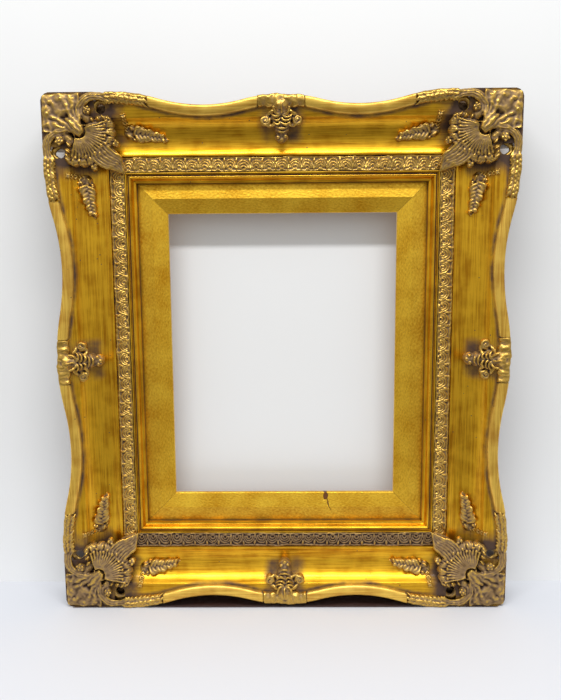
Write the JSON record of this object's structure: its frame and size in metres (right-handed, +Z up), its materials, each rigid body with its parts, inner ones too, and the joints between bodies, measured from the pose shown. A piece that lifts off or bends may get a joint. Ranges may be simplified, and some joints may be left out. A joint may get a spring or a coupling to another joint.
{
  "type": "ornate gilded picture frame",
  "caption": "Swept gilded picture frame with cast shell corners, centre cartouches, leaf sprays, a running ornament band, an inner liner, turn buttons and hanging rings.",
  "frame": {"origin": "centre of the base line, on the surface that the frame stands on, half way through its depth", "axes": "+X to the viewer's right, +Y from the front to the back, +Z up along the frame's height"},
  "size_m": [0.378, 0.0546, 0.4287],
  "materials": {
    "gilded_wood": "satin gold paint, aged",
    "gilded_liner": "satin gold leaf",
    "gilded_rim": "rubbed gold",
    "gilded_composition": "cast composition, rubbed gold over a grey-brown patina",
    "brass": "stamped, dulled",
    "steel": "bare",
    "zinc_plated_steel": "zinc plated"
  },
  "bodies": {
    "frame": {"bottom_cartouche": "gilded_composition", "bottom_left_corner": "gilded_composition", "bottom_left_rim": "gilded_rim", "bottom_left_spray": "gilded_composition", "bottom_rail": "gilded_wood", "bottom_right_corner": "gilded_composition", "bottom_right_rim": "gilded_rim", "bottom_right_spray": "gilded_composition", "bottom_strip": "gilded_composition", "frame_v_nails": "steel", "framer_points": "steel", "hanger_screws": "zinc_plated_steel", "hanger_strap_left": "zinc_plated_steel", "hanger_strap_right": "zinc_plated_steel", "left_cartouche": "gilded_composition", "left_lower_rim": "gilded_rim", "left_lower_spray": "gilded_composition", "left_rail": "gilded_wood", "left_strip": "gilded_composition", "left_upper_rim": "gilded_rim", "left_upper_spray": "gilded_composition", "liner_bottom": "gilded_liner", "liner_left": "gilded_liner", "liner_right": "gilded_liner", "liner_top": "gilded_liner", "liner_v_nails": "steel", "right_cartouche": "gilded_composition", "right_lower_rim": "gilded_rim", "right_lower_spray": "gilded_composition", "right_rail": "gilded_wood", "right_strip": "gilded_composition", "right_upper_rim": "gilded_rim", "right_upper_spray": "gilded_composition", "top_cartouche": "gilded_composition", "top_left_corner": "gilded_composition", "top_left_rim": "gilded_rim", "top_left_spray": "gilded_composition", "top_rail": "gilded_wood", "top_right_corner": "gilded_composition", "top_right_rim": "gilded_rim", "top_right_spray": "gilded_composition", "top_strip": "gilded_composition", "turn_button_screws": "brass"},
    "top_button": {"turn_button_top": "brass"},
    "bottom_button": {"turn_button_bottom": "brass"},
    "left_button": {"turn_button_left": "brass"},
    "right_button": {"turn_button_right": "brass"},
    "left_ring": {"hanger_ring_left": "zinc_plated_steel"},
    "right_ring": {"hanger_ring_right": "zinc_plated_steel"}
  },
  "joints": [
    {"name": "top_button_turn", "type": "hinge", "parent": "frame", "child": "top_button", "pos_m": [0, 0.0194, 0.35035], "axis": [0, -1, 0], "range_deg": [-50, 230]},
    {"name": "bottom_button_turn", "type": "hinge", "parent": "frame", "child": "bottom_button", "pos_m": [0, 0.0194, 0.07835], "axis": [0, -1, 0], "range_deg": [-50, 230]},
    {"name": "left_button_turn", "type": "hinge", "parent": "frame", "child": "left_button", "pos_m": [-0.1106, 0.0194, 0.21435], "axis": [0, -1, 0], "range_deg": [-50, 230]},
    {"name": "right_button_turn", "type": "hinge", "parent": "frame", "child": "right_button", "pos_m": [0.1106, 0.0194, 0.21435], "axis": [0, -1, 0], "range_deg": [-50, 230]},
    {"name": "left_ring_swing", "type": "hinge", "parent": "frame", "child": "left_ring", "pos_m": [-0.14395, 0.025, 0.29], "axis": [0, 0, 1], "range_deg": [0, 175]},
    {"name": "right_ring_swing", "type": "hinge", "parent": "frame", "child": "right_ring", "pos_m": [0.14395, 0.025, 0.29], "axis": [0, 0, -1], "range_deg": [0, 175]}
  ]
}
